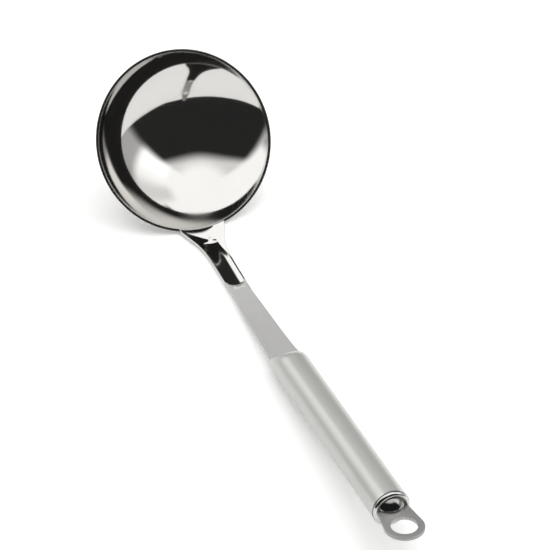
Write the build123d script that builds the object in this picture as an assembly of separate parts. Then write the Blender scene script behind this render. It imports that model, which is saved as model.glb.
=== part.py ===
from build123d import *

import os
from math import acos, asin, cos, degrees, exp, pi, radians, sin, sqrt, tan

# Soup ladle of polished and brushed stainless steel, lying on a table as it rests by itself.
# X runs along the ladle to the hanging eye, Y across it, Z up. Lengths are millimetres, angles degrees.

# Bowl
bowl_diameter = 90.0
bowl_depth = 23.0
bowl_sheet = 1.2
bowl_tilt = 50.4

# Weld between the rim of the bowl and the root of the stem
seam_width = 0.8

# Stem
reach = 141.7
stem_thickness = 1.4
root_width = 23.9
waist_width = 10.6
flare_length = 11.5
flare_power_share = 1.5
root_rise = 11.0
roll_over_length = 6.0
sag_length = 15.0
taper_width = 4.4
mouth_flare_length = 4.0
tang_length = 36.0
tang_chamfer = 2.0

# Groove pressed into the waist of the stem: its sheet thins as it stretches
groove_start = 12.0
groove_end = 50.5
groove_width = 9.6
groove_start_depth = 1.1
groove_end_depth = 1.8
groove_thinning = 0.4
groove_power_share = 1.25
groove_margin = 1.5

# Handle tube
handle_pitch = 6.9
tube_diameter = 18.6
tube_wall = 0.6
tube_length = 128.5
nose_length = 11.5
mouth_side_gap = 0.4
mouth_face_gap = 0.5
mouth_weld_depth = 1.0

# End cap
cap_sheet = 0.8
cap_skirt = 7.0
rim_roll = 1.5
rim_inset = 0.15
rim_roll_turn = 140.0
dome_height = 5.2

# Hanging eye
eye_diameter = 12.7
eye_ring_width = 3.2
eye_offset = 14.9
loop_thickness = 1.6
loop_root_width = 15.2
loop_edge_round = 0.3
loop_tang_width = 10.0
loop_tang_length = 5.5
loop_weld_leg = 0.9

# Overrun of the cutting bodies
overrun = 1.0

# How finely the formed sections are drawn: places across half of a section, and along the neck
half_shares = [0.15, 0.3, 0.45, 0.6, 0.74, 0.86, 0.94, 1.0]
cross_shares = [-share for share in reversed(half_shares)] + [0.0] + half_shares
round_end_shares = [0.0, 0.12, 0.3, 0.55, 1.0]
root_station_shares = [0.1, 0.25, 0.45, 0.7]
groove_station_shares = [0.25, 0.5, 0.75]
section_points = 32
squareness_share = 4.0
nose_station_shares = [0.0, 0.12, 0.3, 0.5, 0.7, 0.86]
strap_station_shares = [0.0, 0.25, 0.5, 0.7, 0.84, 0.93, 1.0]

# Sizes that follow
rim_radius = bowl_diameter / 2
inner_radius = (rim_radius**2 + bowl_depth**2) / (2 * bowl_depth)
outer_radius = inner_radius + bowl_sheet
centre_height = inner_radius - bowl_depth
rim_centre = Vector(0, 0, outer_radius - centre_height * cos(radians(bowl_tilt)))
bowl_place = Location(rim_centre, (0, bowl_tilt, 0))
seam_half_angle = degrees(asin(root_width / 2 / rim_radius))

tube_radius = tube_diameter / 2
bore_radius = tube_radius - tube_wall
mouth_width = 2 * (bore_radius - mouth_side_gap)
mouth_flare_width = mouth_width - waist_width - taper_width
pitch = radians(handle_pitch)
handle_up = Vector(-sin(pitch), 0, cos(pitch))
mouth_centre = Vector(reach, 0, tube_radius * cos(pitch) - nose_length * sin(pitch))
handle_place = Location(mouth_centre, (0, -handle_pitch, 0))


# Bowl and seam, drawn round the bowl's own axis with the rim in the plane z = 0

def ball(radius):
    return Pos(0, 0, centre_height) * Sphere(radius)


def slab(low, high):
    """A thick disc between two heights over the rim, wider than the bowl."""
    size = 2 * outer_radius + 2 * overrun
    return Pos(0, 0, low) * Box(size, size, high - low, align=(Align.CENTER, Align.CENTER, Align.MIN))


def wall_band(low, high):
    """The sheet of the bowl between two heights over the rim."""
    return (ball(outer_radius) - ball(inner_radius)) & slab(low, high)


def make_bowl():
    return bowl_place * wall_band(-bowl_depth - bowl_sheet - overrun, 0)


def make_neck_weld():
    far = 2 * outer_radius * cos(radians(seam_half_angle))
    aside = 2 * outer_radius * sin(radians(seam_half_angle))
    sector = make_face(Polyline((0, 0), (far, aside), (far, -aside), close=True))
    wedge = Pos(0, 0, -overrun) * extrude(sector, seam_width + 2 * overrun)
    return bowl_place * (wall_band(0, seam_width) & wedge)


# Stem: its upper face climbs from the seam and rolls over into a long bow, tangent to the handle

def seam_radius(ball_radius):
    """Radius of the wall where the seam ends and the stem begins."""
    return sqrt(ball_radius**2 - (centre_height - seam_width) ** 2)


tilt = radians(bowl_tilt)
downhill = Vector(cos(tilt), 0, -sin(tilt))
seam_centre = rim_centre + Vector(sin(tilt), 0, cos(tilt)) * seam_width
root_top = seam_centre + downhill * seam_radius(inner_radius)
mouth_top = mouth_centre + handle_up * (stem_thickness / 2)
run = mouth_top.X - root_top.X
root_slope = tan(radians(root_rise))
roll_lift = roll_over_length * root_slope
bow_radius = run**2 / (2 * (root_top.Z + roll_lift - mouth_top.Z + tan(pitch) * run))


def top_height(x):
    ahead = mouth_top.X - x
    bow = mouth_top.Z - tan(pitch) * ahead + ahead**2 / (2 * bow_radius)
    return bow - roll_lift * exp((root_top.X - x) / roll_over_length)


def top_slope(x):
    roll = root_slope * exp((root_top.X - x) / roll_over_length)
    return tan(pitch) - (mouth_top.X - x) / bow_radius + roll


def half_width(along):
    flare = (root_width - waist_width) * exp(-((along / flare_length) ** flare_power_share))
    taper = taper_width * max(0, along - groove_end) / (run - groove_end)
    mouth = mouth_flare_width * exp((along - run) / mouth_flare_length)
    return (waist_width + flare + taper + mouth) / 2


def groove_share(along, across):
    """Share of its full depth that the groove has: all along its middle, none past its round ends."""
    reach_in = groove_width / 2
    past = max(0, groove_start + reach_in - along, along - groove_end + reach_in)
    share = min(1, sqrt(past**2 + across**2) / reach_in)
    return (1 - share**2) ** groove_power_share


def groove_depth(along):
    """Full depth of the groove, which grows towards the handle."""
    grown = (along - groove_start) / (groove_end - groove_start)
    return groove_start_depth + (groove_end_depth - groove_start_depth) * grown


def closed_band(top, bottom):
    """A closed outline from a row of points over a row of points."""
    right_end, left_end = Line(top[-1], bottom[-1]), Line(bottom[0], top[0])
    return Wire([Spline(*top), right_end, Spline(*reversed(bottom)), left_end])


def root_outline():
    """The stem where it meets the seam: a strip of the bowl's wall."""
    top, bottom = [], []
    for share in cross_shares:
        turn = asin(share * half_width(0) / seam_radius(inner_radius))
        spoke = downhill * cos(turn) + Vector(0, 1, 0) * sin(turn)
        top.append(seam_centre + spoke * seam_radius(inner_radius))
        bottom.append(seam_centre + spoke * seam_radius(outer_radius))
    return closed_band(top, bottom)


def stem_outline(along):
    """The stem at a distance from its root, with the fading hollow of the bowl and the groove."""
    x = root_top.X + along
    fade = max(0, 1 - along / sag_length) ** 2
    slope = top_slope(x)
    normal = Vector(-slope, 0, 1) / sqrt(1 + slope**2)
    thickness = stem_thickness + (bowl_sheet - stem_thickness) * fade
    top, bottom = [], []
    for share in cross_shares:
        across = share * half_width(along)
        rise = seam_radius(inner_radius) * (1 - cos(asin(across / seam_radius(inner_radius)))) * fade
        pressed = groove_share(along, across)
        point = Vector(x, across, top_height(x)) - downhill * rise - normal * pressed * groove_depth(along)
        top.append(point)
        bottom.append(point - normal * (thickness - groove_thinning * pressed))
    return closed_band(top, bottom)


def neck_stations():
    """Places along the neck: close together where it rolls over and where the groove starts and stops."""
    reach_in = groove_width / 2
    stations = [share * groove_start for share in root_station_shares]
    stations += [groove_start + share * reach_in for share in round_end_shares]
    straight = groove_end - groove_start - 2 * reach_in
    stations += [groove_start + reach_in + share * straight for share in groove_station_shares]
    stations += [groove_end - share * reach_in for share in reversed(round_end_shares)]
    return stations + [groove_end + groove_margin]


def flat_outline(along):
    x = root_top.X + along
    slope = top_slope(x)
    normal = Vector(-slope, 0, 1) / sqrt(1 + slope**2)
    half = half_width(along)
    top = Vector(x, 0, top_height(x))
    bottom = top - normal * stem_thickness
    side = Vector(0, half, 0)
    return Wire.make_polygon([top - side, top + side, bottom + side, bottom - side], close=True)


def make_tang():
    """The straight end of the stem inside the handle, its corners cut off."""
    half = mouth_width / 2
    left_side = [(0, -half), (tang_length - tang_chamfer, -half), (tang_length, tang_chamfer - half)]
    right_side = [(tang_length, half - tang_chamfer), (tang_length - tang_chamfer, half), (0, half)]
    outline = Polyline(*left_side, *right_side, close=True)
    plate = Pos(0, 0, -stem_thickness / 2) * extrude(make_face(outline), stem_thickness)
    return handle_place * plate


def make_stem():
    neck = Solid.make_loft([root_outline()] + [stem_outline(along) for along in neck_stations()])
    start = groove_end + groove_margin
    strap = Solid.make_loft([flat_outline(start + share * (run - start)) for share in strap_station_shares])
    return neck + strap + make_tang()


# Handle tube, drawn along X from the middle of its mouth

def nose_outline(along, radius, mouth_height):
    """A section of the pressed nose: round at the tube, low and square-ended at the mouth."""
    share = sin(pi / 2 * along / nose_length)
    height = mouth_height + (radius - mouth_height) * share
    power = 2 / (squareness_share + (2 - squareness_share) * sqrt(share))
    points = []
    for step in range(section_points):
        turn = 2 * pi * step / section_points
        y = radius * abs(cos(turn)) ** power * (1 if cos(turn) >= 0 else -1)
        z = height * abs(sin(turn)) ** power * (1 if sin(turn) >= 0 else -1)
        points.append((along, y, z))
    return Wire([Spline(*points, periodic=True)])


def nose_form(radius, mouth_height):
    outlines = [nose_outline(share * nose_length, radius, mouth_height) for share in nose_station_shares]
    round_end = Wire.make_circle(radius, Plane((nose_length, 0, 0), x_dir=(0, 1, 0), z_dir=(1, 0, 0)))
    return Solid.make_loft(outlines + [round_end])


def nose_cavity():
    return nose_form(bore_radius, stem_thickness / 2 + mouth_face_gap)


def make_handle_tube():
    nose = nose_form(tube_radius, stem_thickness / 2 + mouth_face_gap + tube_wall) - nose_cavity()
    ring = Circle(tube_radius) - Circle(bore_radius)
    barrel = Pos(nose_length, 0, 0) * extrude(Plane.YZ * ring, tube_length - nose_length)
    return handle_place * (nose + barrel)


def make_mouth_weld():
    """The weld that fills the mouth round the tang."""
    middle = (Align.MIN, Align.CENTER, Align.CENTER)
    depth = Box(mouth_weld_depth, tube_diameter, tube_diameter, align=middle)
    return handle_place * (nose_cavity() & depth) - make_tang()


# End cap and hanging eye, drawn along X from the end of the tube

rear_place = handle_place * Pos(tube_length, 0, 0)
cap_radius = tube_radius - rim_inset
roll_turn = radians(rim_roll_turn)
groove_x = rim_roll * sin(roll_turn)
groove_radius = cap_radius - rim_roll + rim_roll * cos(roll_turn)
dome_sagitta = dome_height - groove_x
dome_radius = (groove_radius**2 + dome_sagitta**2) / (2 * dome_sagitta)
dome_centre = dome_height - dome_radius
skirt_radius = bore_radius - cap_sheet
throat_radius = sqrt((dome_radius - cap_sheet) ** 2 - dome_centre**2)


def dome_arc(start_x, start_radius, radius):
    """The dome's line from a place on it to its top."""
    top = (dome_centre + radius, 0)
    turn = asin(start_radius / radius) / 2
    middle = (dome_centre + radius * cos(turn), radius * sin(turn))
    return ThreePointArc((start_x, start_radius), middle, top)


def cap_outside():
    """The full body inside the outer skin of the cap."""
    half_turn = roll_turn / 2
    roll_middle = (rim_roll * sin(half_turn), cap_radius - rim_roll + rim_roll * cos(half_turn))
    skin = [
        Line((-cap_skirt, 0), (-cap_skirt, bore_radius)),
        Line((-cap_skirt, bore_radius), (0, bore_radius)),
        Line((0, bore_radius), (0, cap_radius)),
        ThreePointArc((0, cap_radius), roll_middle, (groove_x, groove_radius)),
        dome_arc(groove_x, groove_radius, dome_radius),
        Line((dome_height, 0), (-cap_skirt, 0)),
    ]
    return revolve(make_face(Wire(skin)), Axis.X)


def cap_cavity():
    """The hollow of the cap, open towards the tube."""
    inner = dome_radius - cap_sheet
    low = -cap_skirt - overrun
    skin = [
        Line((low, 0), (low, skirt_radius)),
        Line((low, skirt_radius), (throat_radius - skirt_radius, skirt_radius)),
        Line((throat_radius - skirt_radius, skirt_radius), (0, throat_radius)),
        dome_arc(0, throat_radius, inner),
        Line((dome_centre + inner, 0), (low, 0)),
    ]
    return revolve(make_face(Wire(skin)), Axis.X)


tang_end = dome_height - cap_sheet - loop_tang_length


def loop_tang():
    """The narrow tang of the eye, from its end inside the cap to the top of the dome."""
    middle = (Align.MIN, Align.CENTER, Align.CENTER)
    return Pos(tang_end, 0, 0) * Box(dome_height - tang_end, loop_tang_width, loop_thickness, align=middle)


def make_end_cap():
    return rear_place * (cap_outside() - cap_cavity() - loop_tang())


def make_hanging_loop():
    ring_radius = eye_diameter / 2 + eye_ring_width
    root = loop_root_width / 2
    to_eye = sqrt(eye_offset**2 + root**2)
    lean = asin(ring_radius / to_eye) - asin(root / to_eye)
    touch = (eye_offset - ring_radius * sin(lean), ring_radius * cos(lean))
    left_side = [(tang_end, -root), (0, -root), (touch[0], -touch[1])]
    right_side = [touch, (0, root), (tang_end, root)]
    cheeks = make_face(Polyline(*left_side, *right_side, close=True))
    outline = cheeks + Pos(eye_offset, 0) * Circle(ring_radius)
    blank = Pos(0, 0, -loop_thickness / 2) * extrude(outline, loop_thickness)
    faces = [blank.faces().sort_by(Axis.Z)[0], blank.faces().sort_by(Axis.Z)[-1]]
    blank = fillet([edge for face in faces for edge in face.edges()], loop_edge_round)
    hole = Pos(eye_offset, 0, 0) * Cylinder(eye_diameter / 2, loop_thickness + 2 * overrun)
    return rear_place * (blank - hole - (cap_outside() - loop_tang()))


def make_loop_weld():
    wide = loop_tang_width + 2 * loop_weld_leg
    inner = dome_radius - cap_sheet
    low = dome_centre + sqrt(inner**2 - (wide / 2) ** 2) - loop_weld_leg
    thick = loop_thickness + 2 * loop_weld_leg
    block = Box(dome_height - low, wide, thick, align=(Align.MIN, Align.CENTER, Align.CENTER))
    return rear_place * ((Pos(low, 0, 0) * block & cap_cavity()) - loop_tang())


# The whole ladle, moved so that the middle of its underside is the origin

pieces = {
    "bowl": make_bowl(),
    "neck_weld": make_neck_weld(),
    "stem": make_stem(),
    "handle_tube": make_handle_tube(),
    "mouth_weld": make_mouth_weld(),
    "end_cap": make_end_cap(),
    "hanging_loop": make_hanging_loop(),
    "loop_weld": make_loop_weld(),
}
box = Compound([solid for piece in pieces.values() for solid in piece.solids()]).bounding_box()
centring = Pos(-box.center().X, -box.center().Y, -box.min.Z)

os.makedirs("parts", exist_ok=True)
for name, piece in pieces.items():
    export_step(centring * Compound(piece.solids()), f"parts/{name}.step")
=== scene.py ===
"""Soup ladle: the finishes of its steel pieces, and the studio that it is seen in."""

import math

import bpy
from mathutils import Matrix, Vector

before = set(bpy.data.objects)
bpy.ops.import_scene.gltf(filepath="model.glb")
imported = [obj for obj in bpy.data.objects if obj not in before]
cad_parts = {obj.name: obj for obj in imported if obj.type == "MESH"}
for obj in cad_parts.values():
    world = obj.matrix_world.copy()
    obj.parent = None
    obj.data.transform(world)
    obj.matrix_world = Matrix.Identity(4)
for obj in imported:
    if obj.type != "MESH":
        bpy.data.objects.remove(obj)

bl_info = {
    "name": "Soup ladle finishes",
    "version": (1, 0, 0),
    "blender": (4, 5, 0),
    "location": "View3D > Sidebar > Ladle",
    "description": "Finishes the steel of a soup ladle and sets up its studio",
    "category": "Material",
}

# Places and lengths are metres, in the frame of the model: +X runs from the bowl to the eye, +Z is up
MM = 0.001
ORIGIN = Vector((0.0, 0.0, 0.0))
ALONG = Vector((1.0, 0.0, 0.0))
ACROSS = Vector((0.0, 1.0, 0.0))
UP = Vector((0.0, 0.0, 1.0))
EDGE_ROUND = 0.35 * MM

# Bowl: its wall is part of a hollow ball, whose radius is that of the middle of the sheet
RIM_CENTRE = Vector((-130.97, 0.0, 36.04)) * MM
BOWL_TILT = math.radians(50.4)
BOWL_AXIS = Vector((math.sin(BOWL_TILT), 0.0, math.cos(BOWL_TILT)))
RIM_RADIUS = 45.0 * MM
BALL_CENTRE = RIM_CENTRE + BOWL_AXIS * (32.522 * MM)
BALL_RADIUS = 56.12 * MM
SHEET_MIDDLE = 0.1 * MM
ROUND_WALL = (RIM_RADIUS * 0.985, RIM_RADIUS * 0.96)
DULL_RIM = (RIM_RADIUS * 0.975, RIM_RADIUS * 0.995)

# Stem: the pressed groove in its upper face, and the flare between the groove and the bowl
GROOVE_START = -89.3 * MM
GROOVE_END = -50.8 * MM
GROOVE_RADIUS = 4.8 * MM
GROOVE_DEPTH = 1.5 * MM
GROOVE_POWER = 1.25
START_ROUND = 1.5 * MM
END_ROUND = 4.0 * MM
NEAR_SIDE_SHARE = 0.2
NECK_SLOPE = 0.035
UPPER_FACE = (0.3, 0.5)
FLARE_END = -90.1 * MM
FLARE_LEAN = 0.17
LEFT_SKEW = 0.9
RIGHT_SKEW = 7.0
LAND_START = 3.0 * MM
STRAP_START = 1.5 * MM

# Handle tube and cap
HANDLE_PITCH = math.radians(6.9)
HANDLE_AXIS = Vector((math.cos(HANDLE_PITCH), 0.0, math.sin(HANDLE_PITCH)))
MOUTH_CENTRE = Vector((10.73, 0.0, 7.90)) * MM
TUBE_LENGTH = 128.5 * MM
TUBE_REAR = MOUTH_CENTRE + HANDLE_AXIS * TUBE_LENGTH
# Cap: radii from the axis within which painted shade darkens the dome, and reach of the dust at its joint
# with the tube
CAP_PAINTED_DOME_SHADE = (7.4 * MM, 7.0 * MM)
CAP_JOINT = (0.2 * MM, 0.1 * MM)

# Hanging eye
EYE_CENTRE = Vector((153.09, 0.0, 25.13)) * MM
EYE_RADIUS = 6.35 * MM
EYE_OUTSIDE = 9.55 * MM

# Pattern of each finish: clouds, rings, ripples and speckle to the metre, stretch of the grain along
# each axis, spacing of the scratches and the turns of their three sets
BOWL_CLOUDS = 70.0
BOWL_RINGS = 1400.0
BOWL_SCRATCH = 1.6 * MM
STEM_CLOUDS = 60.0
STEM_GRAIN = Vector((90.0, 2600.0, 900.0))
STEM_SCRATCH = 1.4 * MM
TUBE_CLOUDS = 45.0
TUBE_RINGS = 1500.0
TUBE_SPECKLE = 1900.0
TUBE_SCRATCH = 1.8 * MM
CAP_CLOUDS = 120.0
CAP_RINGS = 2600.0
CAP_SCRATCH = 1.2 * MM
EYE_CLOUDS = 160.0
EYE_GRAIN = Vector((500.0, 3000.0, 900.0))
EYE_SCRATCH = 1.0 * MM
WELD_CLOUDS = 260.0
WELD_RIPPLES = 1500.0
WELD_HEAT = 420.0
SCRATCH_TURNS = (0.3, 1.4, 2.5)

# Depth of the relief
CLOUD_DEPTH = 0.02 * MM
TUBE_CLOUD_DEPTH = 0.03 * MM
POLISH_DEPTH = 0.004 * MM
BRUSH_DEPTH = 0.012 * MM
SATIN_DEPTH = 0.010 * MM

# Welds: the piece, its material, tone of the steel, roughness, depth of the ripples
WELDS = (
    ("neck_weld", "Flush weld of the neck", 0.98, 0.07, 0.004 * MM),
    ("mouth_weld", "Weld in the mouth", 0.72, 0.34, 0.05 * MM),
    ("loop_weld", "Weld inside the cap", 0.66, 0.38, 0.06 * MM),
)

# Camera: the middle of the picture, in its pixels from the centre of the rim, and the picture's width
AIM_RIGHT = 90.9
AIM_DOWN = 134.7
PICTURE = 550.0
SENSOR = 36.0
CLIP_END = 100.0

# Light tent that the steel mirrors. Angles are degrees, round the bowl from +X, or from -X for the back
# flag, and above the level. A pair goes from none to all, and four go up to all and back to none.
DEGREES = 180.0 / math.pi
TENT_CENTRE = Vector((RIM_CENTRE.x, 0.0, 0.0))
TENT_RADIUS = 3.6
FRONT_LEFT = (-98.0, -86.0)
FRONT_RIGHT = (66.0, 54.0)
FRONT_LEAN = 0.25
BOW_TOP = 58.0
BOW_MIDDLE = -15.0
BOW_POWER = 3.0
BOW_CURVE = 0.000036
BOW_EDGE = (7.0, -6.0)
BACK_SIDES = (-66.0, -54.0, 11.0, 18.0)
BACK_TOP = (49.0, 45.0)
DIM_TOP = (74.0, 58.0)
DIM_LOSS = 0.5
PANEL_SIDES = (36.0, 54.0, 62.0, 82.0)
PANEL_HEIGHTS = (12.0, 28.0, 50.0, 62.0)
PANEL_GAIN = 0.3
GREY_SIDES = (78.0, 98.0, 104.0, 124.0)
GREY_TOP = (66.0, 54.0)
GREY_LOSS = 0.5
LOW_RIGHT_SIDES = (40.0, 52.0, 96.0, 118.0)
LOW_RIGHT_TOP = (30.0, 18.0)
LOW_RIGHT_SHARE = 0.62
LOW_LEFT_SIDE = (-90.0, -98.0)
LOW_LEFT_TOP = (24.0, 12.0)
LOW_LEFT_SHARE = 0.75

# Floor: its edge as the steel sees it, and the sides of the tent that lie past that edge
FLOOR_SIZE = 8.0
FLOOR_HEIGHT = -0.05 * MM
FLOOR_EDGE = (
    (-1.6, -0.22), (-0.3, -0.21), (0.1, -0.2), (0.22, -0.15),
    (0.37, -0.05), (0.52, 0.05), (0.57, 0.12), (0.5, 0.2),
)
GROUND_SIDES = (-150.0, -125.0, -100.0, -75.0, -50.0, -25.0, 5.0, 40.0)
GROUND_HEIGHT = 0.5 * MM
GROUND_CLOUDS = 3.0

# Lamps: the name, its power among the studio's properties, place, what it faces, width and length
LAMPS = (
    ("Top lamp", "top_light", (-0.30, 0.05, 1.35), (-0.30, 0.05, 0.0), 2.0, 2.2),
    ("Side lamp", "side_light", (0.45, 1.35, 0.95), (0.25, 0.0, 0.5), 1.8, 1.6),
    ("Back lamp", "back_light", (-1.24, -0.64, 0.96), (-0.13, 0.0, 0.1), 1.4, 0.9),
)
WHITE = (1.0, 1.0, 1.0, 1.0)


class Shade:
    """A socket of a material's nodes. The operators of Python on it add the Math nodes of the sum."""

    def __init__(self, tree, socket):
        self.tree = tree
        self.socket = socket

    def node(self, kind, settings=None, sockets=None, result=0):
        """Adds a node of any kind, its settings first and then its sockets, and gives one of its results."""
        made = self.tree.nodes.new(kind)
        for name, value in (settings or {}).items():
            setattr(made, name, value)
        for name, value in (sockets or {}).items():
            if isinstance(value, Shade):
                self.tree.links.new(value.socket, made.inputs[name])
            else:
                made.inputs[name].default_value = value
        return Shade(self.tree, made.outputs[result] if len(made.outputs) else None)

    def math(self, operation, *values):
        return self.node("ShaderNodeMath", {"operation": operation}, dict(enumerate(values)))

    def vector(self, operation, other=ORIGIN, result=0):
        return self.node("ShaderNodeVectorMath", {"operation": operation}, {0: self, 1: other}, result)

    def __add__(self, other):
        return self.math("ADD", self, other)

    def __radd__(self, other):
        return self.math("ADD", other, self)

    def __sub__(self, other):
        return self.math("SUBTRACT", self, other)

    def __rsub__(self, other):
        return self.math("SUBTRACT", other, self)

    def __mul__(self, other):
        return self.math("MULTIPLY", self, other)

    def __rmul__(self, other):
        return self.math("MULTIPLY", other, self)

    def __truediv__(self, other):
        return self.math("DIVIDE", self, other)

    def __pow__(self, other):
        return self.math("POWER", self, other)

    def __neg__(self):
        return self.math("MULTIPLY", self, -1.0)

    def __abs__(self):
        return self.math("ABSOLUTE", self)

    def least(self, low):
        """The value, but never under a lowest one."""
        return self.math("MAXIMUM", self, low)

    def most(self, high):
        """The value, but never over a highest one."""
        return self.math("MINIMUM", self, high)

    def height_angle(self):
        """The angle above the level, in degrees, of a direction that climbs by this value."""
        return self.math("ARCSINE", self) * DEGREES

    def side_angle(self, ahead):
        """The angle from straight ahead, in degrees, of a direction that goes aside by this value."""
        return self.math("ARCTAN2", self, ahead) * DEGREES

    def along(self, direction, origin=ORIGIN):
        """How far a point lies from an origin, along a direction."""
        return self.vector("SUBTRACT", origin).vector("DOT_PRODUCT", direction, "Value")

    def far(self, origin):
        """How far a point lies from an origin."""
        return self.vector("DISTANCE", origin, "Value")

    def from_line(self, origin, reach):
        """How far a point lies from a line, from an origin on it and the point's reach along it."""
        return (self.far(origin) ** 2.0 - reach ** 2.0).least(0.0) ** 0.5

    def unit(self):
        """A vector at a length of 1."""
        return self.vector("NORMALIZE")

    def scaled(self, amount):
        """A vector, longer or shorter by an amount that may vary."""
        return self.node("ShaderNodeVectorMath", {"operation": "SCALE"}, {0: self, "Scale": amount})

    def stretched(self, scales):
        """A vector, longer or shorter by an amount of its own along each axis."""
        return self.vector("MULTIPLY", scales)

    def gathered(self, x, y, z):
        """A vector from its three parts."""
        return self.node("ShaderNodeCombineXYZ", sockets={0: x, 1: y, 2: z})

    def ease(self, start, end, low=0.0, high=1.0):
        """Goes smoothly from low to high while the value goes from start to end."""
        limits = {"Value": self, "From Min": start, "From Max": end, "To Min": low, "To Max": high}
        return self.node("ShaderNodeMapRange", {"interpolation_type": "SMOOTHSTEP"}, limits)

    def band(self, rise, top_start, top_end, fall):
        """Goes smoothly from 0 up to 1 between its first two limits, and back between its last two."""
        return self.ease(rise, top_start) * self.ease(fall, top_end)

    def noise(self, scale, detail=2.0, roughness=0.5):
        """Cloudy noise over a place in space, from 0 to 1."""
        sockets = {"Vector": self, "Scale": scale, "Detail": detail, "Roughness": roughness}
        return self.node("ShaderNodeTexNoise", {"noise_dimensions": "3D"}, sockets)

    def lines(self, scale, detail=2.0, roughness=0.5):
        """Noise along a single length, from 0 to 1: the spacing of grain lines."""
        sockets = {"W": self, "Scale": scale, "Detail": detail, "Roughness": roughness}
        return self.node("ShaderNodeTexNoise", {"noise_dimensions": "1D"}, sockets)

    def tint(self, first, second):
        """A colour that goes from the first to the second as the value goes from 0 to 1."""
        return self.node("ShaderNodeMix", {"data_type": "RGBA"}, {0: self, 6: first, 7: second}, 2)

    def varied(self, colour, low, high):
        """A colour that goes from a darker to a lighter tone of it as the value goes from 0 to 1."""
        return self.tint(toned(colour, low), toned(colour, high))

    def turned(self, first, second):
        """A vector that goes from the first to the second as the value goes from 0 to 1."""
        return self.node("ShaderNodeMix", {"data_type": "VECTOR"}, {0: self, 4: first, 5: second}, 1)

    def bump(self, distance, strength, normal):
        """Turns a height from 0 to 1 into relief of that depth."""
        sockets = {"Height": self, "Distance": distance, "Strength": strength, "Normal": normal}
        return self.node("ShaderNodeBump", sockets=sockets)

    def to_output(self, output="ShaderNodeOutputMaterial"):
        """Makes a shader the surface of its material, or of the world."""
        self.node(output, sockets={"Surface": self})


def toned(colour, tone=1.0):
    """A colour at a share of its brightness, without its transparency."""
    return tuple(part * tone for part in colour[:3]) + (1.0,)


def blank_material(name):
    """A new material without nodes: gives the material and a start for its nodes."""
    material = bpy.data.materials.new(name)
    material.use_nodes = True
    material.node_tree.nodes.clear()
    return material, Shade(material.node_tree, None)


def steel(name):
    """A new metal: gives the material, the place in space and the normal with its edges broken."""
    material, start = blank_material(name)
    place = start.node("ShaderNodeTexCoord", result="Object")
    edges = start.node("ShaderNodeBevel", {"samples": 6}, {"Radius": EDGE_ROUND})
    return material, place, edges


def dressed(material, colour, roughness, normal, metallic=1.0):
    """Gives a metal the colour, roughness and relief of its finish, and how metallic it is."""
    sockets = {"Base Color": colour, "Roughness": roughness, "Normal": normal, "Metallic": metallic}
    colour.node("ShaderNodeBsdfPrincipled", sockets=sockets).to_output()
    return material


def wear_marks(place, size, amount):
    """Fine stray scratches: three sets of thin marks, each across the next, from 0 to amount."""
    marks = []
    for turn in SCRATCH_TURNS:
        direction = Vector((math.cos(turn), math.sin(turn), 0.2)).normalized()
        side = direction.orthogonal().normalized()
        wander = place.noise(0.4 / size, detail=1.0) * (size * 2.0)
        mark = (place.along(side) + wander).lines(1.0 / size, detail=1.0).ease(0.70, 0.78)
        patch = place.noise(0.12 / size, detail=1.0).ease(0.52, 0.66)
        marks.append(mark * patch)
    return sum(marks) * amount


def bowl_normal(place, from_axis, edges):
    """The true normal of the round wall of the bowl, and the given normal at its rim."""
    inner, outer = BALL_RADIUS - SHEET_MIDDLE, BALL_RADIUS + SHEET_MIDDLE
    outside = place.far(BALL_CENTRE).ease(inner, outer, -1.0, 1.0)
    outward = place.vector("SUBTRACT", BALL_CENTRE).unit()
    return from_axis.ease(*ROUND_WALL).turned(edges, outward.scaled(outside)).unit()


def mirror_steel(finish):
    """Polished sheet of the bowl: faint rings of the polishing wheel, small scratches, a duller rim."""
    material, place, edges = steel("Polished steel of the bowl")
    from_axis = place.from_line(RIM_CENTRE, place.along(BOWL_AXIS, RIM_CENTRE))
    rings = from_axis.lines(BOWL_RINGS, detail=3.0) * from_axis.ease(0.5 * MM, 4.0 * MM)
    swirl = place.noise(BOWL_CLOUDS, detail=3.0)
    marks = wear_marks(place, BOWL_SCRATCH, finish.wear)
    rim = from_axis.ease(*DULL_RIM)
    worn = place.along(UP).ease(3.0 * MM, 0.0)
    colour = (swirl * 0.5 + rings * 0.3).varied(finish.mirror_colour, 0.94, 1.04)
    roughness = finish.mirror_roughness + rings * 0.015 + swirl * 0.015
    roughness = roughness + marks * 0.12 + rim * 0.10 + worn * 0.16
    relief = swirl.bump(CLOUD_DEPTH, 0.5, bowl_normal(place, from_axis, edges))
    relief = (rings * 0.4 + marks * 0.6).bump(POLISH_DEPTH, 0.35, relief)
    return dressed(material, colour, roughness, relief)


def stem_normal(place, edges):
    """The normal of the pressed groove and of the flare above it, and the given normal elsewhere."""
    x = place.along(ALONG)
    y = place.along(ACROSS)
    before = (GROOVE_START + START_ROUND - x).least(0.0) / START_ROUND
    after = (x - GROOVE_END + END_ROUND).least(0.0) / END_ROUND
    lengthwise = after - before
    crosswise = y / GROOVE_RADIUS
    left_over = (1.0 - lengthwise ** 2.0 - crosswise ** 2.0).least(0.0)
    steep = left_over ** (GROOVE_POWER - 1.0) * (2.0 * GROOVE_POWER * GROOVE_DEPTH / GROOVE_RADIUS)
    aside = crosswise.least(0.0) + crosswise.most(0.0) * NEAR_SIDE_SHARE
    hollow = place.gathered(-(lengthwise * steep) - NECK_SLOPE, -(aside * steep), 1.0).unit()
    upper = place.node("ShaderNodeNewGeometry", result="Normal").along(UP).ease(*UPPER_FACE)
    pressed = (left_over.ease(0.0, 0.10) * upper).turned(edges, hollow)
    flare_edge = x - y.most(0.0) * LEFT_SKEW - (y - LAND_START).least(0.0) * RIGHT_SKEW
    flare = flare_edge.ease(FLARE_END + MM, FLARE_END - MM) * upper * FLARE_LEAN
    return pressed.vector("ADD", place.gathered(flare, 0.0, 0.0)).unit()


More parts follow.
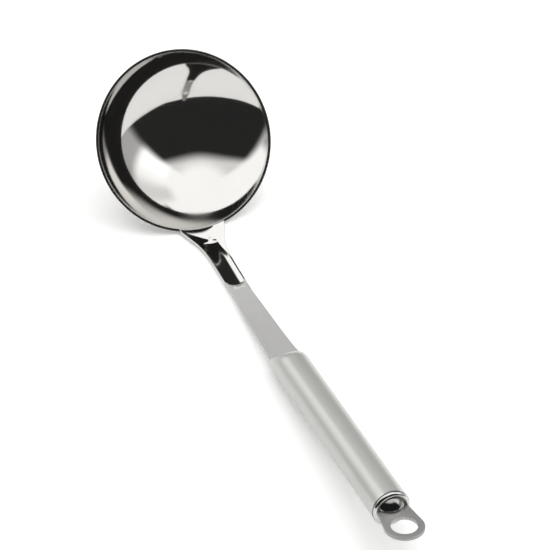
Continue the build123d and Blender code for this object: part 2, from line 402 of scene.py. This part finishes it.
def stem_steel(finish):
    """Polished neck that turns to a brushed strap past the end of the groove."""
    material, place, edges = steel("Steel of the stem")
    round_end = ALONG * (GROOVE_END - GROOVE_RADIUS)
    past = place.along(ALONG, round_end).ease(-STRAP_START, STRAP_START)
    from_end = place.stretched(ALONG + ACROSS).far(round_end)
    brushed = past * from_end.ease(GROOVE_RADIUS - 0.9 * MM, GROOVE_RADIUS - 0.2 * MM)
    clouds = place.noise(STEM_CLOUDS, detail=3.0)
    grain = place.stretched(STEM_GRAIN).noise(1.0, detail=3.0, roughness=0.6)
    marks = wear_marks(place, STEM_SCRATCH, finish.wear)
    bright = (clouds * 0.6 + grain * 0.4).varied(finish.mirror_colour, 0.93, 1.05)
    matt = (clouds * 0.4 + grain * 0.6).varied(finish.brushed_colour, 0.88, 1.10)
    smooth = finish.mirror_roughness + clouds * 0.02 + marks * 0.10
    coarse = finish.brushed_roughness + (grain - 0.5) * 0.16 + marks * 0.08
    relief = clouds.bump(CLOUD_DEPTH, 0.4, stem_normal(place, edges))
    relief = (grain * brushed + marks * 0.3).bump(BRUSH_DEPTH, 0.5, relief)
    colour = brushed.tint(bright, matt)
    roughness = smooth + (coarse - smooth) * brushed
    return dressed(material, colour, roughness, relief, 1.0 - brushed * finish.softness)


def satin_steel(finish):
    """Satin tube of the handle: fine grain that runs round it, hand wear, a dark seam at the cap."""
    material, place, edges = steel("Satin steel of the handle")
    reach = place.along(HANDLE_AXIS, MOUTH_CENTRE)
    clouds = place.noise(TUBE_CLOUDS, detail=3.0)
    speckle = place.noise(TUBE_SPECKLE, roughness=0.6)
    rings = (reach + (clouds - 0.5) * (0.6 * MM)).lines(TUBE_RINGS, detail=3.0, roughness=0.6)
    grain = speckle * 0.6 + rings * 0.4
    marks = wear_marks(place, TUBE_SCRATCH, finish.wear)
    nose = reach.ease(10.0 * MM, 2.0 * MM)
    rear = reach.ease(TUBE_LENGTH - 2.2 * MM, TUBE_LENGTH - 0.6 * MM)
    seam = reach.ease(TUBE_LENGTH - 0.7 * MM, TUBE_LENGTH - 0.3 * MM)
    colour = (clouds * 0.45 + grain * 0.55).varied(finish.satin_colour, 0.92, 1.07)
    colour = seam.tint(colour, toned(finish.satin_colour, 0.25))
    roughness = finish.satin_roughness + (grain - 0.5) * 0.12
    roughness = roughness - nose * 0.08 - rear * 0.10 + marks * 0.06
    relief = clouds.bump(TUBE_CLOUD_DEPTH, 0.3, edges)
    relief = grain.bump(SATIN_DEPTH, finish.grain, relief)
    return dressed(material, colour, roughness, relief, 1.0 - finish.softness)


def cap_steel(finish):
    """Polished cap: turned rings, dust where it meets the tube, and painted shade that darkens its dome."""
    material, place, edges = steel("Polished steel of the cap")
    reach = place.along(HANDLE_AXIS, TUBE_REAR)
    from_axis = place.from_line(TUBE_REAR, reach)
    rings = from_axis.lines(CAP_RINGS, roughness=0.6)
    clouds = place.noise(CAP_CLOUDS, detail=3.0)
    marks = wear_marks(place, CAP_SCRATCH, finish.wear)
    colour = (clouds * 0.5 + rings * 0.5).varied(finish.mirror_colour, 0.90, 1.04)
    # Dust at the joint with the tube, and painted shade: the dome's colour is darkened to stand for the dark
    # surroundings it mirrors
    joint_dust_and_painted_dome_shade = reach.ease(*CAP_JOINT) * 0.6 + from_axis.ease(*CAP_PAINTED_DOME_SHADE) * 0.5
    colour = joint_dust_and_painted_dome_shade.tint(colour, toned(finish.mirror_colour, 0.05))
    roughness = finish.mirror_roughness + 0.03 + rings * 0.03 + clouds * 0.02 + marks * 0.10
    relief = clouds.bump(CLOUD_DEPTH, 0.5, edges)
    relief = (rings * 0.6 + marks * 0.4).bump(POLISH_DEPTH, 0.4, relief)
    return dressed(material, colour, roughness, relief)


def loop_steel(finish):
    """Brushed eye: lengthwise grain on its faces, edges and bore rubbed brighter in use."""
    material, place, edges = steel("Brushed steel of the eye")
    from_hole = place.far(EYE_CENTRE)
    grain = place.stretched(EYE_GRAIN).noise(1.0, detail=3.0, roughness=0.6)
    clouds = place.noise(EYE_CLOUDS, detail=3.0)
    marks = wear_marks(place, EYE_SCRATCH, finish.wear)
    rub = from_hole.ease(EYE_RADIUS + 1.6 * MM, EYE_RADIUS)
    edge = from_hole.ease(EYE_OUTSIDE - 0.9 * MM, EYE_OUTSIDE)
    colour = (clouds * 0.4 + grain * 0.6).varied(finish.eye_colour, 0.88, 1.10)
    colour = (rub * 0.6 + edge * 0.4).tint(colour, toned(finish.eye_colour, 1.2))
    roughness = finish.brushed_roughness + 0.02 + (grain - 0.5) * 0.14
    roughness = roughness - rub * 0.16 - edge * 0.08 + marks * 0.08
    relief = clouds.bump(CLOUD_DEPTH, 0.4, edges)
    relief = (grain * 0.7 + marks * 0.3).bump(SATIN_DEPTH, 0.5, relief)
    return dressed(material, colour, roughness, relief, 1.0 - finish.softness * 0.7)


def weld_steel(finish, name, tone, roughness_level, ripple):
    """Weld metal: ripples along the bead, a breath of straw and blue from the heat."""
    material, place, edges = steel(name)
    clouds = place.noise(WELD_CLOUDS, detail=3.0)
    ripples = (place.along(ACROSS) + clouds * MM).lines(WELD_RIPPLES, detail=1.0)
    clean = toned(finish.mirror_colour, tone)
    straw = (clean[0] * 1.02, clean[1] * 0.95, clean[2] * 0.82, 1.0)
    blue = (clean[0] * 0.88, clean[1] * 0.92, clean[2] * 1.02, 1.0)
    tempered = place.noise(WELD_HEAT).tint(straw, blue)
    colour = clouds.ease(0.45, 0.75).tint(clean, tempered)
    roughness = roughness_level + (ripples - 0.5) * 0.10 + clouds * 0.05
    relief = (ripples * 0.6 + clouds * 0.4).bump(ripple, 0.8, edges)
    return dressed(material, colour, roughness, relief)


def finish_node(name, material):
    """Gives a piece of the model its finish."""
    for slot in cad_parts[name].material_slots:
        slot.material = material


class LadleFinish(bpy.types.PropertyGroup):
    """The colours and the wear of the steel."""

    mirror_colour: bpy.props.FloatVectorProperty(
        name="Polished steel", description="Colour of the polished bowl, neck and cap",
        subtype="COLOR", size=3, min=0.0, max=1.0, default=(0.60, 0.59, 0.57),
    )
    mirror_roughness: bpy.props.FloatProperty(
        name="Polish", description="Roughness of the polished steel", min=0.0, max=1.0, default=0.04,
    )
    brushed_colour: bpy.props.FloatVectorProperty(
        name="Brushed steel", description="Colour of the brushed strap",
        subtype="COLOR", size=3, min=0.0, max=1.0, default=(0.58, 0.575, 0.565),
    )
    brushed_roughness: bpy.props.FloatProperty(
        name="Brushing", description="Roughness of the brushed steel", min=0.0, max=1.0, default=0.42,
    )
    satin_colour: bpy.props.FloatVectorProperty(
        name="Satin steel", description="Colour of the satin handle tube",
        subtype="COLOR", size=3, min=0.0, max=1.0, default=(0.575, 0.58, 0.555),
    )
    satin_roughness: bpy.props.FloatProperty(
        name="Satin", description="Roughness of the satin tube", min=0.0, max=1.0, default=0.36,
    )
    eye_colour: bpy.props.FloatVectorProperty(
        name="Eye", description="Colour of the brushed hanging eye",
        subtype="COLOR", size=3, min=0.0, max=1.0, default=(0.36, 0.355, 0.35),
    )
    softness: bpy.props.FloatProperty(
        name="Softness", description="Share of light that the brushed and satin steel scatters all ways",
        min=0.0, max=1.0, default=0.48,
    )
    grain: bpy.props.FloatProperty(
        name="Grain", description="Depth of the grain of the satin tube", min=0.0, max=1.0, default=0.35,
    )
    wear: bpy.props.FloatProperty(
        name="Wear", description="Amount of fine scratches", min=0.0, max=1.0, default=0.5,
    )


class LadleStudio(bpy.types.PropertyGroup):
    """The camera, the lamps, the floor and the light tent of the studio."""

    azimuth: bpy.props.FloatProperty(
        name="Camera side", description="Angle of the camera round the ladle, from the line of its handle",
        subtype="ANGLE", default=math.radians(-24.27),
    )
    elevation: bpy.props.FloatProperty(
        name="Camera height", description="Angle of the camera above the floor",
        subtype="ANGLE", default=math.radians(40.07),
    )
    roll: bpy.props.FloatProperty(
        name="Camera roll", description="Turn of the camera about its own line of sight",
        subtype="ANGLE", default=math.radians(3.85),
    )
    distance: bpy.props.FloatProperty(
        name="Camera distance", description="From the camera to the plane of the bowl's rim centre",
        unit="LENGTH", subtype="DISTANCE", min=0.1, default=1.7893,
    )
    lens: bpy.props.FloatProperty(
        name="Lens", description="Focal length of the camera, in millimetres", min=10.0, default=230.8,
    )
    floor_colour: bpy.props.FloatVectorProperty(
        name="Floor", description="Colour of the floor", subtype="COLOR", size=3, min=0.0, max=1.0,
        default=(0.97, 0.97, 0.965),
    )
    floor_lift: bpy.props.FloatProperty(
        name="Floor lift", description="How far the floor is lifted towards white, as seen",
        min=0.0, default=0.20,
    )
    tent_light: bpy.props.FloatProperty(
        name="Tent", description="Brightness of the light tent that the steel mirrors",
        min=0.0, default=1.55,
    )
    flag_light: bpy.props.FloatProperty(
        name="Flags", description="Brightness of the dark flags in the tent",
        min=0.0, default=0.03,
    )
    world_light: bpy.props.FloatProperty(
        name="Surround", description="Light of the white surround on the ladle",
        min=0.0, default=0.18,
    )
    top_light: bpy.props.FloatProperty(
        name="Top lamp", description="Power of the soft lamp overhead, in watts",
        min=0.0, default=24.5,
    )
    side_light: bpy.props.FloatProperty(
        name="Side lamp", description="Power of the soft lamp at the right, in watts",
        min=0.0, default=8.5,
    )
    back_light: bpy.props.FloatProperty(
        name="Back lamp", description="Power of the soft lamp behind the bowl, in watts",
        min=0.0, default=3.5,
    )


class LADLE_OT_bowl(bpy.types.Operator):
    """Polishes the bowl"""

    bl_idname = "ladle.bowl"
    bl_label = "Bowl"

    def execute(self, context):
        finish_node("bowl", mirror_steel(context.scene.ladle_finish))
        return {"FINISHED"}


class LADLE_OT_stem(bpy.types.Operator):
    """Polishes the neck of the stem and brushes its strap"""

    bl_idname = "ladle.stem"
    bl_label = "Stem"

    def execute(self, context):
        finish_node("stem", stem_steel(context.scene.ladle_finish))
        return {"FINISHED"}


class LADLE_OT_tube(bpy.types.Operator):
    """Gives the handle tube its satin finish"""

    bl_idname = "ladle.tube"
    bl_label = "Handle tube"

    def execute(self, context):
        finish_node("handle_tube", satin_steel(context.scene.ladle_finish))
        return {"FINISHED"}


class LADLE_OT_cap(bpy.types.Operator):
    """Polishes the end cap"""

    bl_idname = "ladle.cap"
    bl_label = "End cap"

    def execute(self, context):
        finish_node("end_cap", cap_steel(context.scene.ladle_finish))
        return {"FINISHED"}


class LADLE_OT_eye(bpy.types.Operator):
    """Brushes the hanging eye"""

    bl_idname = "ladle.eye"
    bl_label = "Hanging eye"

    def execute(self, context):
        finish_node("hanging_loop", loop_steel(context.scene.ladle_finish))
        return {"FINISHED"}


class LADLE_OT_welds(bpy.types.Operator):
    """Finishes the three welds: flush at the neck, plain at the mouth and inside the cap"""

    bl_idname = "ladle.welds"
    bl_label = "Welds"

    def execute(self, context):
        finish = context.scene.ladle_finish
        for piece, name, tone, roughness_level, ripple in WELDS:
            finish_node(piece, weld_steel(finish, name, tone, roughness_level, ripple))
        return {"FINISHED"}


def seen_or_mirrored(start):
    """1 for the rays of the camera and of mirrors, and 0 for those that carry light to the ladle."""
    seen = start.node("ShaderNodeLightPath", result="Is Camera Ray")
    glossy = start.node("ShaderNodeLightPath", result="Is Glossy Ray")
    passed = start.node("ShaderNodeLightPath", result="Is Transmission Ray")
    return (seen + glossy + passed).most(1.0)


def floor_material(studio):
    """A matt pale floor that the camera and the steel see a little lifted towards white."""
    material, start = blank_material("Pale floor")
    colour = toned(studio.floor_colour)
    matt = {"Base Color": colour, "Roughness": 0.9, "Specular IOR Level": 0.0}
    lift = {"Emission Color": colour, "Emission Strength": studio.floor_lift}
    plain = start.node("ShaderNodeBsdfPrincipled", sockets=matt)
    lifted = start.node("ShaderNodeBsdfPrincipled", sockets={**matt, **lift})
    shown = {0: seen_or_mirrored(start), 1: plain, 2: lifted}
    start.node("ShaderNodeMixShader", sockets=shown).to_output()
    return material


def make_floor(studio):
    """A wide pale floor just under the ladle."""
    bpy.ops.object.select_all(action="DESELECT")
    bpy.ops.mesh.primitive_plane_add(size=FLOOR_SIZE, location=(0.0, 0.0, FLOOR_HEIGHT))
    floor = bpy.context.object
    floor.name = "floor"
    floor.data.materials.append(floor_material(studio))


def only_for_steel(thing, light, material):
    """Makes an object of the studio give off light that only the steel sees."""
    light.node("ShaderNodeEmission", sockets={"Color": light}).to_output()
    thing.data.materials.append(material)
    thing.visible_camera = False
    thing.visible_diffuse = False
    thing.visible_shadow = False
    thing.visible_transmission = False
    thing.visible_volume_scatter = False


def tent_glow(place, studio):
    """Light of the tent by direction: dark flags in front up to a bow and behind, a panel at the right."""
    way = place.unit()
    x, y, z = (way.along(axis) for axis in (ALONG, ACROSS, UP))
    height = z.height_angle()
    side = y.side_angle(x)
    behind = (-y).side_angle(-x)
    front = side.ease(*FRONT_LEFT) * (side + height * FRONT_LEAN).ease(*FRONT_RIGHT)
    bow = height - (BOW_TOP - abs(side - BOW_MIDDLE) ** BOW_POWER * BOW_CURVE)
    front_flag = front * bow.ease(*BOW_EDGE)
    back_flag = behind.band(*BACK_SIDES) * height.ease(*BACK_TOP)
    dim = front * height.ease(*DIM_TOP)
    panel = side.band(*PANEL_SIDES) * height.band(*PANEL_HEIGHTS)
    grey = side.band(*GREY_SIDES) * height.ease(*GREY_TOP)
    low_right = side.band(*LOW_RIGHT_SIDES) * height.ease(*LOW_RIGHT_TOP)
    low_left = side.ease(*LOW_LEFT_SIDE) * height.ease(*LOW_LEFT_TOP)
    bright = studio.tent_light - dim * DIM_LOSS + panel * PANEL_GAIN - grey * GREY_LOSS
    bright = bright * (1.0 - front_flag.least(back_flag))
    bright = bright * (1.0 - low_right * LOW_RIGHT_SHARE) * (1.0 - low_left * LOW_LEFT_SHARE)
    return bright + studio.flag_light


def make_tent(studio):
    """The light tent round the ladle, as the polished steel sees it."""
    bpy.ops.object.select_all(action="DESELECT")
    bpy.ops.mesh.primitive_uv_sphere_add(
        segments=64, ring_count=32, radius=TENT_RADIUS, location=TENT_CENTRE,
    )
    tent = bpy.context.object
    tent.name = "light_tent"
    material, start = blank_material("Light tent")
    place = start.node("ShaderNodeTexCoord", result="Object")
    only_for_steel(tent, tent_glow(place, studio), material)


def make_dark_ground(studio):
    """The dark ground past the edge of the pale floor, in front and at the left."""
    turns = [math.radians(side) for side in GROUND_SIDES]
    far_edge = [
        (TENT_CENTRE.x + TENT_RADIUS * math.cos(turn), TENT_RADIUS * math.sin(turn)) for turn in turns
    ]
    points = [(x, y, GROUND_HEIGHT) for x, y in (*FLOOR_EDGE, *far_edge)]
    count = len(FLOOR_EDGE)
    faces = [(first, first + 1, first + count + 1, first + count) for first in range(count - 1)]
    mesh = bpy.data.meshes.new("dark_ground")
    mesh.from_pydata(points, [], faces)
    ground = bpy.data.objects.new("dark_ground", mesh)
    bpy.context.scene.collection.objects.link(ground)
    material, start = blank_material("Dark ground")
    place = start.node("ShaderNodeTexCoord", result="Object")
    only_for_steel(ground, place.noise(GROUND_CLOUDS) * studio.flag_light * 2.0, material)


def make_lamps(studio):
    """Three soft lamps: overhead, at the right, and behind the bowl on the left."""
    for name, power, place, target, width, length in LAMPS:
        lamp = bpy.data.lights.new(name, "AREA")
        lamp.shape = "RECTANGLE"
        lamp.size = width
        lamp.size_y = length
        lamp.energy = getattr(studio, power)
        holder = bpy.data.objects.new(name, lamp)
        bpy.context.scene.collection.objects.link(holder)
        holder.location = place
        holder.rotation_euler = (Vector(target) - Vector(place)).to_track_quat("-Z", "Y").to_euler()
        holder.visible_glossy = False


def make_world(studio):
    """A white surround: full white to the camera and the steel, gentler as light."""
    world = bpy.data.worlds.new("White surround")
    bpy.context.scene.world = world
    world.use_nodes = True
    world.node_tree.nodes.clear()
    start = Shade(world.node_tree, None)
    light = start.node("ShaderNodeBackground", sockets={"Color": WHITE, "Strength": studio.world_light})
    white = start.node("ShaderNodeBackground", sockets={"Color": WHITE, "Strength": 1.0})
    shown = {0: seen_or_mirrored(start), 1: light, 2: white}
    start.node("ShaderNodeMixShader", sockets=shown).to_output("ShaderNodeOutputWorld")


def make_camera(studio):
    """The camera at the viewing angle of the photograph."""
    flat = Vector((math.cos(studio.azimuth), math.sin(studio.azimuth), 0.0))
    back = flat * math.cos(studio.elevation) + UP * math.sin(studio.elevation)
    right = Vector((-math.sin(studio.azimuth), math.cos(studio.azimuth), 0.0))
    up = back.cross(right)
    turned_right = right * math.cos(studio.roll) + up * math.sin(studio.roll)
    turned_up = up * math.cos(studio.roll) - right * math.sin(studio.roll)
    pixel = studio.distance * SENSOR / (studio.lens * PICTURE)
    aim = RIM_CENTRE + turned_right * (AIM_RIGHT * pixel) - turned_up * (AIM_DOWN * pixel)
    lens = bpy.data.cameras.new("Camera")
    lens.lens = studio.lens
    lens.sensor_width = SENSOR
    lens.clip_end = CLIP_END
    camera = bpy.data.objects.new("Camera", lens)
    bpy.context.scene.collection.objects.link(camera)
    turn = Matrix((turned_right, turned_up, back)).transposed().to_4x4()
    camera.matrix_world = Matrix.Translation(aim + back * studio.distance) @ turn
    bpy.context.scene.camera = camera


class LADLE_OT_studio(bpy.types.Operator):
    """Sets up the floor, the light tent, the lamps, the surround and the camera"""

    bl_idname = "ladle.studio"
    bl_label = "Studio"

    def execute(self, context):
        studio = context.scene.ladle_studio
        make_floor(studio)
        make_tent(studio)
        make_dark_ground(studio)
        make_lamps(studio)
        make_world(studio)
        make_camera(studio)
        context.scene.view_settings.view_transform = "Standard"
        return {"FINISHED"}


OPERATORS = (
    LADLE_OT_bowl,
    LADLE_OT_stem,
    LADLE_OT_tube,
    LADLE_OT_cap,
    LADLE_OT_eye,
    LADLE_OT_welds,
    LADLE_OT_studio,
)


class LADLE_PT_sidebar(bpy.types.Panel):
    """The finishes and the studio in the 3D view's sidebar"""

    bl_idname = "LADLE_PT_sidebar"
    bl_label = "Soup ladle"
    bl_space_type = "VIEW_3D"
    bl_region_type = "UI"
    bl_category = "Ladle"

    def draw(self, context):
        for operator in OPERATORS:
            self.layout.operator(operator.bl_idname)
        for group in (context.scene.ladle_finish, context.scene.ladle_studio):
            box = self.layout.box()
            for name in group.__annotations__:
                box.prop(group, name)


CLASSES = (LadleFinish, LadleStudio) + OPERATORS + (LADLE_PT_sidebar,)


def register():
    for kind in CLASSES:
        bpy.utils.register_class(kind)
    bpy.types.Scene.ladle_finish = bpy.props.PointerProperty(type=LadleFinish)
    bpy.types.Scene.ladle_studio = bpy.props.PointerProperty(type=LadleStudio)


def unregister():
    del bpy.types.Scene.ladle_studio
    del bpy.types.Scene.ladle_finish
    for kind in reversed(CLASSES):
        bpy.utils.unregister_class(kind)


def main():
    register()
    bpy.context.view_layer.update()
    bpy.ops.ladle.bowl()
    bpy.ops.ladle.stem()
    bpy.ops.ladle.tube()
    bpy.ops.ladle.cap()
    bpy.ops.ladle.eye()
    bpy.ops.ladle.welds()
    bpy.ops.ladle.studio()


if __name__ == "__main__":
    main()
